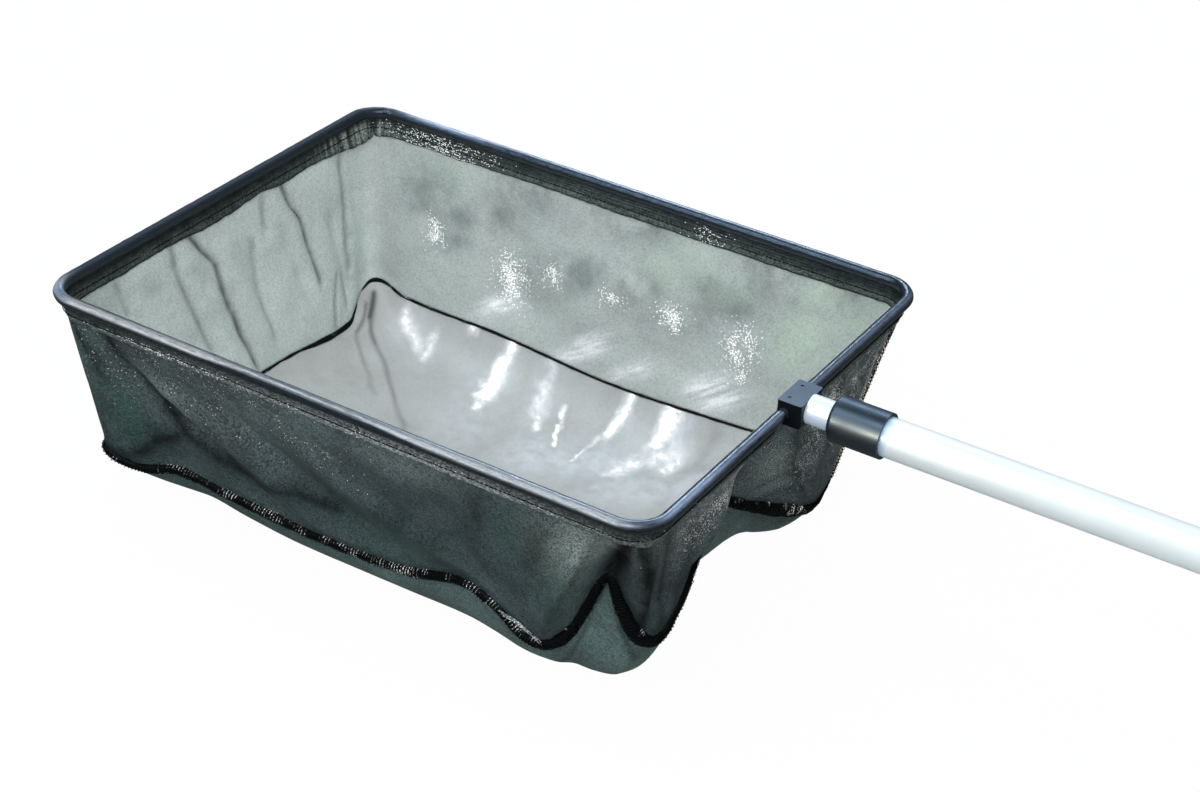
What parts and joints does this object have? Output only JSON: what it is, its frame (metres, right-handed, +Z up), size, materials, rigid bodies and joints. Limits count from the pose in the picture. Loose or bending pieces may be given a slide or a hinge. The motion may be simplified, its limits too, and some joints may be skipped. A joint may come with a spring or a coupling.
{
  "type": "leaf skimmer net",
  "caption": "Deep rectangular net bag sewn round a rod hoop, on a socket and a two-section telescopic pole with a twist lock, grip and hanging tab.",
  "frame": {"origin": "on the pole's axis, in the middle of the hand grip's smooth length", "axes": "+X along the pole towards its butt, the net is on the -X side; +Z up, out of the net's mouth; +Y across the net"},
  "size_m": [1.0483, 0.353, 0.1833],
  "materials": {
    "rod": "black coated",
    "sleeve_cloth": "smooth coated weave",
    "net_cloth": "fine open mesh",
    "overlock": "dense overlocked thread",
    "thread": "shiny polyester thread",
    "black_plastic": "moulded, satin",
    "gloss_collar": "gloss moulded",
    "white_plastic": "natural acetal",
    "silver_tube": "silver anodised, satin",
    "fastener": "plain steel",
    "rivet": "plain",
    "grip_rubber": "soft matte"
  },
  "bodies": {
    "handle": {"outer_tube": "silver_tube", "lock_body": "black_plastic", "lock_pins": "fastener", "collet": "white_plastic", "grip": "grip_rubber", "end_plug": "black_plastic"},
    "collar": {"lock_collar": "gloss_collar"},
    "guide": {"guide_ring": "white_plastic"},
    "head": {"inner_tube": "silver_tube", "end_core": "black_plastic", "core_pin": "fastener", "socket_block": "black_plastic", "rod_pins": "fastener", "tube_rivet": "rivet", "hoop_rod": "rod", "rim_sleeve": "sleeve_cloth", "hem_stitching": "thread", "bag_walls": "net_cloth", "closing_seam": "thread", "bag_bottom": "net_cloth", "bottom_seam": "overlock"}
  },
  "joints": [
    {"name": "lock_turn", "type": "hinge", "parent": "handle", "child": "collar", "pos_m": [-0.46, 0, 0], "axis": [1, 0, 0], "range_deg": [0, 120]},
    {"name": "pole_extend", "type": "slide", "parent": "handle", "child": "guide", "axis": [-1, 0, 0], "range_m": [0, 0.42]},
    {"name": "head_turn", "type": "hinge", "parent": "guide", "child": "head", "pos_m": [-0.01, 0, 0], "axis": [1, 0, 0], "continuous": true}
  ]
}
